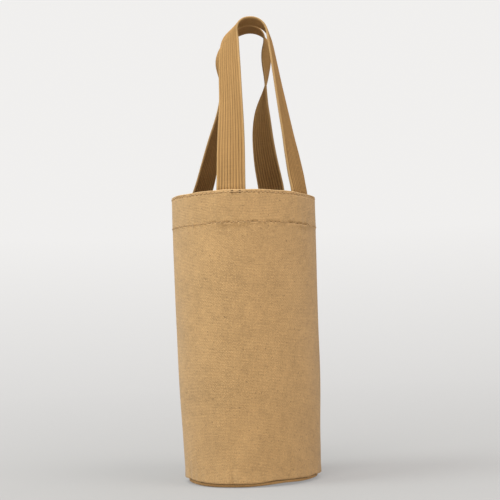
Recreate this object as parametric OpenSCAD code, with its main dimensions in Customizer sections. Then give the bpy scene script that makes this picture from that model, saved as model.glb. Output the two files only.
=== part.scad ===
// Bottle carrier: a round canvas bag with a turned-in hem, a sewn-in round base and two webbing handles.
// The origin is the centre of the base, on the surface that the bag stands on. The front handle is at -Y,
// the back handle at +Y, and the vertical seam of the body is at +X.

/* [Body] */
// Outside diameter at the mouth
mouth_d = 112; // [94:1:130]
// Outside diameter of the wall just above the base seam
foot_d = 106; // [90:1:124]
// Height from the surface it stands on to the rim
body_h = 220; // [160:1:320]
// Height over which the wall widens from the foot to its full diameter
taper_h = 90; // [60:1:140]
// Thickness of the canvas
canvas_t = 1.1; // [0.7:0.1:1.5]
// Depth of the hem that is turned in at the mouth
hem_depth = 24; // [18:1:34]

/* [Seams] */
// Height of the base seam above the surface it stands on
seam_h = 2.8; // [2:0.1:6]
// Width of cloth that each seam takes in
seam_allowance = 7; // [5:0.5:10]
// Thickness of the tape that binds the seams inside
tape_t = 0.6; // [0.3:0.1:1]
// Radius of the base panel's rolled edge
base_round = 1.8; // [1:0.1:2.6]

/* [Handles] */
// Width of the webbing
strap_w = 22; // [16:1:30]
// Thickness of the webbing
strap_t = 1.8; // [1.2:0.1:2.4]
// Spacing of the front handle's two legs, along the wall
front_leg_spacing = 61; // [52:1:68]
// Spacing of the back handle's two legs, along the wall
back_leg_spacing = 69; // [56:1:76]
// Height of the handles' crown above the rim
handle_rise = 141; // [100:1:200]
// Radius of the crown, where a handle hangs over a peg or a hand
crown_r = 15.5; // [12:0.5:20]
// How far beside the bag's axis the crowns hang
crown_side = 10; // [0:1:16]
// Length of webbing sewn down inside the hem
end_depth = 25.5; // [16:0.5:32]

/* [Stitching] */
// Diameter of the sewing thread
thread_d = 0.5; // [0.3:0.05:0.7]
// Length of one stitch
stitch_l = 2.6; // [1.8:0.1:3]
// Distance from one stitch to the next
stitch_pitch = 3.4; // [3.2:0.1:5]
// Distance of the upper row below the rim
top_row_drop = 2; // [1.7:0.1:4]
// Distance of the hem's row above the hem's lower edge
hem_row_rise = 1.5; // [1:0.1:4]

/* [Hidden] */

// Space left between two layers of cloth that lie on each other
layer_gap = 0.1;
// Space between the wall and its turned-in hem
fold_gap = 0.2;
// Space between a strap's sewn end and the loop that goes on from it, and between the two loops
split_gap = 0.4;
loop_gap = 0.6;
// Height by which a strap's sewn end stands above the rim
end_stand = 1.4;
// Turn of the peg or hand that the handles hang on, from the bag's own Y axis, in degrees
hang_turn = 16;
// Width and depth of the groove that shows the body's vertical seam
groove_w = 1;
groove_depth = 0.5;
// Overlap of two shapes that are joined into one piece
joined = 0.05;
wall_steps = 12;
round_steps = 8;
leg_rings = 16;
crown_rings = 18;
strap_points = 5;
colour_canvas = [0.70, 0.55, 0.37];
colour_webbing = [0.74, 0.59, 0.40];
colour_tape = [0.66, 0.53, 0.37];
colour_thread = [0.60, 0.47, 0.31];
$fn = 120;

// Share of the turn from the rim to the crown that a strap has made at a share of its height: slow at
// first, with most of it close below the crown. The back straps turn past edge-on on their way.
steady_turn_share = 0.55;
late_turn_power = 6;
front_lead_shares = [0, 0.1];
back_lead_shares = [0.67, 0.9];
tape_cover_share = 0.7;
cup_share = 0.35;

mouth_r = mouth_d / 2;
foot_r = foot_d / 2;

// Layers inside the foot, from the wall inwards: tape, the body's allowance, the base's edge, tape
allowance_out = foot_r - canvas_t - tape_t - 2 * layer_gap;
allowance_in = allowance_out - canvas_t;
base_out = allowance_in - layer_gap;
base_in = base_out - canvas_t;
fold_mid = (foot_r + allowance_in) / 2;
fold_r = (foot_r - allowance_in) / 2;
slit_mid = (foot_r - canvas_t + allowance_out) / 2;
slit_r = (foot_r - canvas_t - allowance_out) / 2;
fold_z = seam_h + fold_r;
allowance_top = seam_h + seam_allowance;
tape_leg = tape_cover_share * seam_allowance;
tape_top = allowance_top + layer_gap + tape_t;

// Rim: a round fold of two layers
rim_r = canvas_t + fold_gap / 2;
rim_z = body_h - rim_r;
hem_z = body_h - hem_depth;
hem_in = mouth_r - 2 * canvas_t - fold_gap;

// The vertical seam: both edges of the body panel turned to one side and bound with tape
side_flap_off = canvas_t + tape_t + 2 * layer_gap;
side_tape_off = side_flap_off + 2 * canvas_t + layer_gap;
side_seam_low = tape_top + 2 * layer_gap;
side_seam_high = hem_z - 2 * layer_gap;

// Straps, inside the hem
strap_out = hem_in - layer_gap;
strap_in = strap_out - strap_t;
strap_mid = strap_out - strap_t / 2;
strap_angle = arc_angle(strap_w, strap_mid);
// The handles are spaced evenly on the flat panel. The vertical seam then takes its allowance out of
// the gap on its own side, which brings both handles closer to it.
handle_shift = arc_angle(seam_allowance, strap_mid);
front_half = arc_angle(front_leg_spacing / 2, strap_mid);
back_half = arc_angle(back_leg_spacing / 2, strap_mid);
loop_z = body_h + end_stand + split_gap;
crown_z = body_h + handle_rise;
crown_y = (strap_w + loop_gap) / 2;

function arc_angle(length, radius) = length / radius * 180 / PI;

// Outer radius of the wall at a height: straight up past the base seam, then widening to the mouth's
function wall_r(z) =
  foot_r + (mouth_r - foot_r) * sin(90 * min(1, max(0, (z - tape_top) / taper_h)));

// Heights of an outline along the wall. Those between its ends are the same for every layer, so that the
// layers keep their distance
function heights(low, high) = concat(
  [low],
  [for (i = [0:wall_steps]) let (z = tape_top + taper_h * i / wall_steps) if (z > low && z < high) z],
  [high]
);
function reversed(list) = [for (i = [len(list) - 1:-1:0]) list[i]];
function arc(x, y, r, from, to) =
  [for (i = [0:round_steps]) let (a = from + (to - from) * i / round_steps)
    [x + r * cos(a), y + r * sin(a)]];
// Points at a distance inside the wall's outer face
function wall_line(low, high, inset) =
  [for (z = heights(low, high)) [wall_r(z) - inset, z]];

// A strip of cloth along the wall, from one angle to another
module wall_band(low, high, inset_out, inset_in, from, to) {
  rotate([0, 0, from])
    rotate_extrude(angle = to - from)
      polygon(concat(
        wall_line(low, high, inset_out),
        reversed(wall_line(low, high, inset_in))
      ));
}

module ring(profile) {
  rotate_extrude() polygon(profile);
}

module body_panel() {
  profile = concat(
    wall_line(fold_z, rim_z, 0),
    arc(mouth_r - rim_r, rim_z, rim_r, 0, 180),
    reversed(wall_line(hem_z, rim_z, mouth_r - hem_in)),
    wall_line(hem_z, rim_z, canvas_t + fold_gap),
    reversed(wall_line(fold_z, rim_z, canvas_t)),
    arc(slit_mid, fold_z, slit_r, 0, -180),
    [[allowance_out, allowance_top], [allowance_in, allowance_top]],
    arc(fold_mid, fold_z, fold_r, -180, 0)
  );
  seam_angle = arc_angle(groove_w, foot_r);
  flap_angle = arc_angle(seam_allowance, foot_r);
  color(colour_canvas)
    difference() {
      union() {
        // The revolved outline starts opposite the seam, so that the seam's shapes don't cross its start
        rotate([0, 0, 180]) ring(profile);
        difference() {
          wall_band(side_seam_low, side_seam_high, canvas_t - joined, side_flap_off + 2 * canvas_t,
            0, flap_angle);
          wall_band(0, body_h, 0, side_flap_off, seam_angle, 2 * flap_angle);
        }
      }
      wall_band(fold_z, rim_z, -groove_w, groove_depth, -seam_angle / 2, seam_angle / 2);
    }
}

module base_panel() {
  color(colour_canvas)
    ring(concat(
      [[0, 0]],
      arc(base_out - base_round, base_round, base_round, -90, 0),
      [[base_out, allowance_top], [base_in, allowance_top], [base_in, canvas_t], [0, canvas_t]]
    ));
}

module base_seam_binding() {
  low = allowance_top - tape_leg;
  high = allowance_top + layer_gap;
  out = allowance_out + layer_gap;
  in = base_in - layer_gap;
  color(colour_tape)
    ring([
      [out, low], [out, high], [in, high], [in, low],
      [in - tape_t, low], [in - tape_t, tape_top], [out + tape_t, tape_top], [out + tape_t, low]
    ]);
}

module side_seam_binding() {
  root = arc_angle(groove_w + layer_gap, foot_r);
  free = arc_angle(seam_allowance + layer_gap, foot_r);
  end = arc_angle(seam_allowance + layer_gap + tape_t, foot_r);
  start = arc_angle(seam_allowance - tape_leg, foot_r);
  color(colour_tape)
    difference() {
      wall_band(side_seam_low, side_seam_high, canvas_t + layer_gap, side_tape_off + tape_t, root, end);
      wall_band(0, body_h, canvas_t + layer_gap + tape_t, side_tape_off, 0, free);
      wall_band(0, body_h, side_flap_off, 2 * side_tape_off, 0, start);
    }
}

// Stitches are laid in a ring, with a whole number of them on each quarter
function stitch_count(radius) = 4 * floor(2 * PI * radius / stitch_pitch / 4);

// Distance of a thread's centre from the cloth that it lies on
thread_off = thread_d / 2 + layer_gap / 2;

module ring_stitch(radius, angle, z) {
  rotate([0, 0, angle]) translate([radius, 0, z]) rotate([90, 0, 0])
    cylinder(h = stitch_l, d = thread_d, center = true, $fn = 16);
}

function leg_angles() = [
  handle_shift - front_half, handle_shift + front_half,
  180 - handle_shift - back_half, 180 - handle_shift + back_half
];

// Whether a stitch at an angle, counted from -Y, lies on a strap's sewn end
function on_strap(angle) =
  len([for (leg = leg_angles())
    let (off = abs((angle - leg + 540) % 360 - 180))
    if (off < strap_angle / 2 + arc_angle(stitch_l / 2, strap_mid)) leg]) > 0;

// A row that shows on the outside, and inside on the hem and across the strap ends
module rim_row(z, outside_r, inside_r) {
  count = stitch_count(mouth_r);
  for (i = [0:count - 1]) {
    angle = 360 * i / count;
    ring_stitch(outside_r + thread_off, angle, z);
    ring_stitch((on_strap(angle + 90) ? strap_in : inside_r) - thread_off, angle, z);
  }
}

module top_edge_stitching() {
  color(colour_thread) rim_row(body_h - top_row_drop, mouth_r, hem_in);
}

module hem_stitching() {
  z = hem_z + hem_row_rise;
  color(colour_thread) rim_row(z, wall_r(z), wall_r(z) - (mouth_r - hem_in));
}

module base_seam_stitching() {
  radius = base_in - layer_gap - tape_t - thread_off;
  count = stitch_count(radius);
  color(colour_thread)
    for (i = [0:count - 1]) ring_stitch(radius, 360 * i / count, allowance_top - tape_leg / 2);
}

module side_seam_stitching() {
  angle = arc_angle(seam_allowance - tape_leg / 2, foot_r);
  room = side_seam_high - side_seam_low;
  count = floor(room / stitch_pitch);
  color(colour_thread)
    for (i = [0:count - 1]) {
      z = side_seam_low + room * (i + 0.5) / count;
      rotate([0, 0, angle]) translate([wall_r(z) - side_tape_off - tape_t - thread_off, 0, z])
        rotate([0, atan((wall_r(z + stitch_l) - wall_r(z)) / stitch_l), 0])
          cylinder(h = stitch_l, d = thread_d, center = true, $fn = 16);
    }
}

// A strap's sewn end follows the round wall, inside the hem
module strap_end(angle) {
  color(colour_webbing)
    rotate([0, 0, angle - 90 - strap_angle / 2])
      rotate_extrude(angle = strap_angle)
        translate([strap_in, body_h - end_depth])
          square([strap_t, end_depth + end_stand]);
}

function unit(v) = v / norm(v);

// The centre line of a loop, seen from the front: two straight legs that run tangent into a round crown.
// The handle stands at -Y, and its legs at the angles t1 and t2 from -Y.
function leg_base(t) = [strap_mid * sin(t), -strap_mid * cos(t), loop_z];
function tangent_angle(t, centre_x, side) =
  let (b = leg_base(t), dx = centre_x - b[0], dz = crown_z - crown_r - loop_z)
  atan2(dz, dx) + side * asin(crown_r / norm([dx, dz]));

function rise_share(z) = (z - loop_z) / (crown_z - loop_z);

function centre_line(t1, t2, centre_x) =
  let (
    a1 = tangent_angle(t1, centre_x, 1) + 90,
    a2 = tangent_angle(t2, centre_x, -1) - 90,
    mid_z = crown_z - crown_r,
    b1 = leg_base(t1),
    b2 = leg_base(t2),
    p1 = [centre_x + crown_r * cos(a1), mid_z + crown_r * sin(a1)],
    p2 = [centre_x + crown_r * cos(a2), mid_z + crown_r * sin(a2)],
    flat = concat(
      [for (i = [0:leg_rings - 1]) let (s = i / leg_rings)
        [b1[0] + (p1[0] - b1[0]) * s, b1[2] + (p1[1] - b1[2]) * s, b1[1]]],
      [for (i = [0:crown_rings]) let (a = a1 + (a2 - a1) * i / crown_rings)
        [centre_x + crown_r * cos(a), mid_z + crown_r * sin(a), a > 90 ? b1[1] : b2[1]]],
      [for (i = [leg_rings - 1:-1:0]) let (s = i / leg_rings)
        [b2[0] + (p2[0] - b2[0]) * s, b2[2] + (p2[1] - b2[2]) * s, b2[1]]]
    )
  )
  [for (p = flat) [p[0], p[2] + (-crown_y - p[2]) * rise_share(p[1]), p[1]]];

function turn_share(h, lead) =
  steady_turn_share * h + (1 - steady_turn_share) * pow(h, late_turn_power)
  + lead * pow(sin(180 * pow(h, 3)), 2);

// Direction across the strap: along the wall at the rim, along the peg at the crown
function across_angle(i, count, h, t1, t2, leads) =
  i <= count / 2
    ? t1 + (-90 - t1) * turn_share(h, leads[0])
    : t2 - 180 + (90 - t2) * turn_share(h, leads[1]);

function strap_rings(line, t1, t2, leads) =
  let (count = len(line) - 1)
  [for (i = [0:count])
    let (
      h = rise_share(line[i][2]),
      along = i == 0 ? [0, 0, 1] : i == count ? [0, 0, -1] : unit(line[i + 1] - line[i - 1]),
      angle = across_angle(i, count, h, t1, t2, leads),
      level = [cos(angle), sin(angle), 0],
      across = unit(level - (level * along) * along),
      outward = cross(across, along),
      cup = pow(strap_w / 2, 2) / (2 * strap_mid) * pow(max(0, 1 - h / cup_share), 2),
      row = [for (k = [0:strap_points - 1]) let (s = 2 * k / (strap_points - 1) - 1)
        line[i] + across * s * strap_w / 2 - outward * cup * s * s]
    )
    concat([for (p = row) p + outward * strap_t / 2], reversed([for (p = row) p - outward * strap_t / 2]))];

module swept(rings) {
  n = len(rings[0]);
  last = len(rings) - 1;
  polyhedron(
    points = [for (r = rings) each r],
    faces = concat(
      [for (k = [0:strap_points - 2]) each [[k, k + 1, n - 2 - k], [k, n - 2 - k, n - 1 - k]]],
      [for (i = [0:last - 1], k = [0:n - 1]) let (a = i * n + k, b = i * n + (k + 1) % n)
        each [[a, a + n, b], [b, a + n, b + n]]],
      [for (k = [0:strap_points - 2]) let (o = last * n)
        each [[o + k, o + n - 2 - k, o + k + 1], [o + k, o + n - 1 - k, o + n - 2 - k]]]
    )
  );
}

// A loop of webbing. The centre of its legs is at the given angle from -Y before the bag is turned to
// the peg, and side tells on which side of the axis the crown hangs.
module handle_loop(centre, half, side, leads) {
  t1 = centre - half + hang_turn;
  t2 = centre + half + hang_turn;
  color(colour_webbing)
    rotate([0, 0, -hang_turn])
      swept(strap_rings(centre_line(t1, t2, side * crown_side), t1, t2, leads));
}

module front_handle_left_end() { strap_end(handle_shift - front_half); }
module front_handle_right_end() { strap_end(handle_shift + front_half); }
module back_handle_left_end() { strap_end(180 - handle_shift + back_half); }
module back_handle_right_end() { strap_end(180 - handle_shift - back_half); }
module front_handle_loop() { handle_loop(handle_shift, front_half, 1, front_lead_shares); }
module back_handle_loop() {
  rotate([0, 0, 180]) handle_loop(-handle_shift, back_half, -1, back_lead_shares);
}

body_panel();
base_panel();
base_seam_binding();
side_seam_binding();
top_edge_stitching();
hem_stitching();
base_seam_stitching();
side_seam_stitching();
front_handle_left_end();
front_handle_right_end();
back_handle_left_end();
back_handle_right_end();
front_handle_loop();
back_handle_loop();
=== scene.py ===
"""Bottle carrier: a round canvas bag with two webbing handles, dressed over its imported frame.

Angles round the bag are counted from -Y, the front, towards +X, where the body's vertical seam is.
"""
import math

import bpy
import numpy as np
from mathutils import Matrix, Vector


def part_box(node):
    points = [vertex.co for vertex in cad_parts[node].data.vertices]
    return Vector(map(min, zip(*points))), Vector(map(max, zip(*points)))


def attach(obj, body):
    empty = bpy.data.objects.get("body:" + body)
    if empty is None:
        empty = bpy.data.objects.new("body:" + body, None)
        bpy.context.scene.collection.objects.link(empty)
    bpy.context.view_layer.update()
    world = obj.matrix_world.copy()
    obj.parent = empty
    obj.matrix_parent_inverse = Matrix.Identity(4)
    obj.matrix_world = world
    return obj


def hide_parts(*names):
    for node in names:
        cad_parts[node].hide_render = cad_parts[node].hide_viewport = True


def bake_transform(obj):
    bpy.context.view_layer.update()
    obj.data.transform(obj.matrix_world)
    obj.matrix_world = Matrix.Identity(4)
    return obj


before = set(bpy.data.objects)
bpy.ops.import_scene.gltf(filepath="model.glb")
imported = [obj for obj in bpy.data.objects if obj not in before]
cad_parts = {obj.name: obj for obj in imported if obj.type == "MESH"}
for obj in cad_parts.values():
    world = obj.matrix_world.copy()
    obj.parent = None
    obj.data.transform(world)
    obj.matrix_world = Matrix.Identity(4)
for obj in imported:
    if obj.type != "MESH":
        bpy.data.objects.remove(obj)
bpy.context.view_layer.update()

MM = 0.001
TAU = 2 * math.pi
TINY = 1e-6
rng = np.random.default_rng(20)

# Sizes of the frame
body_low, body_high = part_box("body_panel")
MOUTH_R = -body_low.x
RIM_Z = body_high.z
SEAM_Z = body_low.z
LOOP_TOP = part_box("front_handle_loop")[1].z

# Sizes that the construction is drawn with, in metres
FOOT_R = 53 * MM
TAPER_H = 90 * MM
CANVAS_T = 1.1 * MM
HEM_DEPTH = 24 * MM
SEAM_ALLOWANCE = 7 * MM
GROOVE_W = 1 * MM
TAPE_T = 0.6 * MM
TAPE_SHARE = 0.7
STRAP_W = 22 * MM
STRAP_T = 1.8 * MM
FRONT_SPACING = 61 * MM
BACK_SPACING = 69 * MM
CROWN_R = 15.5 * MM
CROWN_SIDE = 10 * MM
END_DEPTH = 25.5 * MM
END_STAND = 1.4 * MM
SPLIT_GAP = 0.4 * MM
THREAD_D = 0.5 * MM
STITCH_L = 2.6 * MM
STITCH_PITCH = 3.4 * MM
TOP_ROW_DROP = 2 * MM
HEM_ROW_RISE = 1.5 * MM
LAYER_GAP = 0.1 * MM
FOLD_GAP = 0.2 * MM
LOOP_GAP = 0.6 * MM
HANG_TURN = math.radians(16)

# The dressed cloth alone has a tighter base corner, and folds pressed flatter than half circles
BASE_ROUND = 1.1 * MM
FOOT_FLATNESS = 0.5
RIM_FLATNESS = 0.6

# Radii and heights that follow from them
ALLOWANCE_OUT = FOOT_R - CANVAS_T - TAPE_T - 2 * LAYER_GAP
ALLOWANCE_IN = ALLOWANCE_OUT - CANVAS_T
ALLOWANCE_TOP = SEAM_Z + SEAM_ALLOWANCE
BASE_OUT = ALLOWANCE_IN - LAYER_GAP
BASE_IN = BASE_OUT - CANVAS_T
FOLD_R = (FOOT_R - ALLOWANCE_IN) / 2
FOLD_Z = SEAM_Z + FOOT_FLATNESS * FOLD_R
TAPE_LEG = TAPE_SHARE * SEAM_ALLOWANCE
TAPE_TOP = ALLOWANCE_TOP + LAYER_GAP + TAPE_T
RIM_R = CANVAS_T + FOLD_GAP / 2
RIM_FOLD_Z = RIM_Z - RIM_FLATNESS * RIM_R
HEM_Z = RIM_Z - HEM_DEPTH
HEM_INSET = 2 * CANVAS_T + FOLD_GAP
HEM_ROW_Z = HEM_Z + HEM_ROW_RISE
TOP_ROW_Z = RIM_Z - TOP_ROW_DROP
STITCH_ROWS = (HEM_ROW_Z, TOP_ROW_Z)
SIDE_SEAM = math.pi / 2
SIDE_LOW = TAPE_TOP + 2 * LAYER_GAP
SIDE_HIGH = HEM_Z - 2 * LAYER_GAP
FLAP_INSET = CANVAS_T + TAPE_T + 2 * LAYER_GAP
FLAP_IN = FLAP_INSET + 2 * CANVAS_T
SIDE_TAPE_IN = FLAP_IN + LAYER_GAP + TAPE_T
STRAP_INSET = HEM_INSET + LAYER_GAP + STRAP_T / 2
STRAP_R = MOUTH_R - STRAP_INSET
HANDLE_SHIFT = SEAM_ALLOWANCE / STRAP_R
FRONT_HALF = FRONT_SPACING / 2 / STRAP_R
BACK_HALF = BACK_SPACING / 2 / STRAP_R
LEG_ANGLES = (HANDLE_SHIFT - FRONT_HALF, HANDLE_SHIFT + FRONT_HALF,
              math.pi - HANDLE_SHIFT - BACK_HALF, math.pi - HANDLE_SHIFT + BACK_HALF)
LOOP_Z = RIM_Z + END_STAND + SPLIT_GAP
CROWN_Z = LOOP_TOP - STRAP_T / 2
CROWN_Y = (STRAP_W + LOOP_GAP) / 2


# Small shape functions

def smooth(x, low, high):
    """0 below low, 1 above high and a smooth step between them."""
    t = np.clip((x - low) / (high - low), 0, 1)
    return t * t * (3 - 2 * t)


def band(x, low, high, soft):
    """1 from low to high and 0 outside, with soft ends."""
    return smooth(x, low - soft / 2, low + soft / 2) * (1 - smooth(x, high - soft / 2, high + soft / 2))


def bump(x, centre, width):
    """A bell of height 1."""
    return np.exp(-((x - centre) / width) ** 2)


def fade(distance, reach):
    """1 at no distance, dying away over the reach."""
    return np.exp(-np.clip(distance, 0, None) / reach)


def spline(x, xs, ys):
    """A smooth curve through the points (xs, ys)."""
    xs, ys = np.asarray(xs, float), np.asarray(ys, float)
    slope = np.gradient(ys, xs)
    x = np.clip(x, xs[0], xs[-1])
    i = np.clip(np.searchsorted(xs, x, side="right") - 1, 0, len(xs) - 2)
    d = xs[i + 1] - xs[i]
    t = (x - xs[i]) / d
    return ((2 * t ** 3 - 3 * t ** 2 + 1) * ys[i] + (t ** 3 - 2 * t ** 2 + t) * d * slope[i]
            + (-2 * t ** 3 + 3 * t ** 2) * ys[i + 1] + (t ** 3 - t ** 2) * d * slope[i + 1])


def apart(angle, centre):
    """The angle's distance from centre, from -pi to pi."""
    return (angle - centre + math.pi) % TAU - math.pi


def round_the_bag(angle, table):
    """A smooth closed curve through (degrees, millimetres) pairs, in metres."""
    degrees, sizes = zip(*table)
    turns = [d + 360 * k for k in (-1, 0, 1) for d in degrees]
    return spline(np.degrees(apart(angle, 0)), turns, sizes * 3) * MM


def unit(rows):
    """Each row as a direction of length 1."""
    return rows / np.linalg.norm(rows, axis=1)[:, None]


def polar(r, angle, z):
    """Points at radius r, at an angle round the bag and at height z."""
    return np.stack(np.broadcast_arrays(r * np.sin(angle), -r * np.cos(angle), z), -1)


def ripples(count, low, high, low_wave=None, high_wave=None):
    """A seeded set of waves round the bag, each with a count round it, a phase, a size and a wave number
    upward, which is 0 where no wave lengths are given."""
    made = []
    for _ in range(count):
        upward = 0.0 if low_wave is None else TAU / rng.uniform(low_wave, high_wave) * rng.choice([-1, 1])
        made.append((int(rng.integers(low, high + 1)), rng.uniform(0, TAU), rng.normal(0, 1), upward))
    return made


def ripple(waves, angle, z=0.0):
    """The waves' sum, with a root mean square near 1."""
    size = math.sqrt(sum(a * a for _, _, a, _ in waves) / 2)
    return sum(a * np.cos(n * angle + p + k * z) for n, p, a, k in waves) / size


# The cloth's own unevenness: how many waves, their fewest and most round the bag, and their shortest and
# longest upward

SOFT = ripples(7, 2, 5, 140 * MM, 420 * MM)
DENTS = ripples(12, 6, 15, 50 * MM, 160 * MM)
RIM_WAVE = ripples(6, 8, 15)
HEM_WAVE = ripples(7, 5, 16)
HEM_PUCKER = ripples(16, 30, 64)
TOP_PUCKER = ripples(14, 36, 70)
FOOT_PUCKER = ripples(14, 18, 46)
FOOT_WAVE = ripples(8, 7, 19)

# How far the free wall stands out, and up to what height the base holds it
SOFT_SIZE = 0.3 * MM
DENT_SIZE = 0.13 * MM
OVAL_SIZE = 0.2 * MM
OVAL_PHASE = 0.6
FREE_Z = 40 * MM
FOOT_PUCKER_SIZE = 0.2 * MM
FOOT_PUCKER_H = 9 * MM

# Where the wall stands out or in at its sides, in degrees and millimetres: angle, height, size,
# reach round the bag in radians, reach upward
SIDE_SWELLS = (
    (-100, 152, 1.5, 0.6, 52),
    (-100, 34, -0.7, 0.6, 24),
    (72, 158, 0.7, 0.5, 42),
    (72, 30, -0.5, 0.5, 26),
)

# Creases on a row of stitches, in degrees and millimetres: angle, half width along the wall, depth
HEM_CREASES = ((36, 7.5, 0.6), (24, 2.7, 0.8), (7.5, 5.5, 0.35), (-8, 2, 0.5), (-18.5, 1.5, 0.18),
               (-28, 3.5, 0.22), (-40, 3.5, 0.2), (128, 8, 0.5), (150, 3, 0.4), (196, 6, 0.45), (216, 4, 0.4))
TOP_CREASES = ((44, 17, 0.4), (-78, 12, 0.25), (140, 10, 0.3), (212, 12, 0.3))

# Each row of stitches: height, depth of its groove, its puckers with their size and reach, its creases
ROW_FORMS = (
    (HEM_ROW_Z, 0.07 * MM, HEM_PUCKER, 0.14 * MM, 4.5 * MM, HEM_CREASES),
    (TOP_ROW_Z, 0.09 * MM, TOP_PUCKER, 0.07 * MM, 3 * MM, TOP_CREASES),
)
ROW_GROOVE_W = 0.7 * MM
CREASE_W = 0.6 * MM
CREASE_END = 3 * MM
CREASE_SLOPE = 0.02
ROLL_SHARE = 0.4
ROLL_RISE = 2.2 * MM
ROLL_W = 1.4 * MM

# How far the hem, the handles' sewn ends and the vertical seam show in the wall
HEM_STEP = 0.18 * MM
HEM_STEP_HALF = 1.2 * MM
END_SHOW = 0.4 * MM
END_SHOW_SIDE = 3 * MM
END_SHOW_EDGE = 2.2 * MM
END_SHOW_DROP = 1.5 * MM
SEAM_GROOVE = 0.5 * MM
SEAM_GROOVE_W = 0.5 * MM
SEAM_RIDGE = 0.22 * MM
SEAM_RIDGE_START = 0.6 * MM
SEAM_RIDGE_END = SEAM_ALLOWANCE + 1 * MM
SEAM_RIDGE_EDGE = 1.2 * MM
SEAM_RIPPLE = 0.1 * MM
SEAM_RIPPLE_W = 3 * MM
SEAM_RIPPLE_PITCH = 7 * MM

# How far the rim, the base seam and the base's edge are drawn up, at angles from the front, in millimetres
RIM_LIFT = ((-100, 1.9), (-87, 1.4), (-65, 0.5), (-40, 0.4), (-12, -0.2), (8, -0.6), (30, -1.4), (50, -1.9),
            (72, -1.2), (105, -0.4), (150, -0.2), (195, 0.3), (230, 1.0))
SEAM_LIFT = ((-105, 0.9), (-92, 1.2), (-75, 1.2), (-57, 0.2), (-40, 0.1), (-20, 0.1), (-7, 0.9), (9, 1.7),
             (20, 1.7), (32, 1.2), (48, 1.7), (60, 1.0), (95, 0.4), (140, 0.4), (185, 1.2), (225, 0.5))
EDGE_LIFT = ((-105, 0.4), (-93, 0.5), (-78, 0.4), (-62, 0), (-38, 0.1), (-20, 0.3), (-8, 0.8), (12, 1.8),
             (30, 1.3), (45, 1.3), (60, 1.2), (85, 0.5), (140, 0), (185, 0.6), (225, 0.3))
RIM_LIFT_H = 70 * MM
RIM_WAVE_SIZE = 0.1 * MM
SEAM_LIFT_H = 7 * MM
SEAM_WAVE_SIZE = 0.16 * MM
HEM_SAG = 2.2 * MM
HEM_SAG_H = 14 * MM
HEM_WAVE_SIZE = 0.16 * MM


def wall_r(z):
    """The even wall's radius, which widens from the foot up to the taper's height."""
    return FOOT_R + (MOUTH_R - FOOT_R) * np.sin(math.pi / 2 * np.clip((z - TAPE_TOP) / TAPER_H, 0, 1))


def loose_swell(angle, up):
    """The free wall's soft folds, dents and swells, and the puckers above the base seam."""
    free = smooth(up, SEAM_Z, FREE_Z)
    out = free * (SOFT_SIZE * ripple(SOFT, angle, up) + DENT_SIZE * ripple(DENTS, angle, up))
    out = out + OVAL_SIZE * free * np.cos(2 * angle + OVAL_PHASE)
    for centre, height, size, around, upward in SIDE_SWELLS:
        beside = bump(apart(angle, math.radians(centre)), 0, around)
        out = out + size * MM * beside * bump(up, height * MM, upward * MM)
    return out + FOOT_PUCKER_SIZE * ripple(FOOT_PUCKER, angle) * fade(up - FOLD_Z, FOOT_PUCKER_H)


def row_swell(angle, up):
    """The hem's step, and the groove, puckers and creases of each row of stitches."""
    out = HEM_STEP * smooth(up, HEM_Z - HEM_STEP_HALF, HEM_Z + HEM_STEP_HALF)
    for row_z, groove, puckers, size, reach, creases in ROW_FORMS:
        out = out - groove * bump(up, row_z, ROW_GROOVE_W)
        out = out + size * ripple(puckers, angle) * fade(np.abs(up - row_z), reach)
        for centre, half, depth in creases:
            off = apart(angle, math.radians(centre)) * MOUTH_R
            along = depth * MM * band(off, -half * MM, half * MM, CREASE_END)
            place = row_z + CREASE_SLOPE * off
            out = out - along * bump(up, place, CREASE_W)
            out = out + ROLL_SHARE * along * bump(up, place + ROLL_RISE, ROLL_W)
    return out


def end_swell(angle, up):
    """The handles' sewn ends behind the hem."""
    over = sum(band(apart(angle, leg) * STRAP_R, -STRAP_W / 2, STRAP_W / 2, END_SHOW_SIDE)
               for leg in LEG_ANGLES)
    return END_SHOW * over * band(up, RIM_Z - END_DEPTH, RIM_Z - END_SHOW_DROP, END_SHOW_EDGE)


def side_seam_swell(angle, up):
    """The vertical seam's groove, the allowance beside it and the seam's own ripple."""
    off = apart(angle, SIDE_SEAM) * MOUTH_R
    out = SEAM_RIDGE * band(off, SEAM_RIDGE_START, SEAM_RIDGE_END, SEAM_RIDGE_EDGE)
    out = out + SEAM_RIPPLE * np.cos(TAU * up / SEAM_RIPPLE_PITCH) * bump(off, 0, SEAM_RIPPLE_W)
    return out - SEAM_GROOVE * bump(off, 0, SEAM_GROOVE_W)


def swell(angle, z):
    """How far the cloth stands out from the even wall."""
    up = np.clip(z, 0, RIM_Z)
    return sum(form(angle, up) for form in (loose_swell, row_swell, end_swell, side_seam_swell))


def lift(angle, z):
    """How far the cloth is drawn up or down: a wavy rim, a sagging hem line and a wavy base seam."""
    rim = round_the_bag(angle, RIM_LIFT) + RIM_WAVE_SIZE * ripple(RIM_WAVE, angle)
    hem = HEM_WAVE_SIZE * ripple(HEM_WAVE, angle) - HEM_SAG
    seam = round_the_bag(angle, SEAM_LIFT) + SEAM_WAVE_SIZE * ripple(FOOT_WAVE, angle)
    share = smooth(z, 0, SEAM_Z)
    foot = share * seam + (1 - share) * round_the_bag(angle, EDGE_LIFT)
    return (smooth(z, RIM_Z - RIM_LIFT_H, RIM_Z) * rim + bump(z, HEM_ROW_Z, HEM_SAG_H) * hem
            + fade(z - SEAM_Z, SEAM_LIFT_H) * foot)


def on_bag(angle, z, inset=0.0):
    """Points of the cloth at a height, at a distance inside the wall's outer face."""
    angle, z, inset = np.broadcast_arrays(*(np.asarray(a, float) for a in (angle, z, inset)))
    return polar(wall_r(z) - inset + swell(angle, z), angle, z + lift(angle, z))


# Meshes

FINE_REACH = 2.6 * MM
LAST_STEP_SHARE = 1.4


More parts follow.
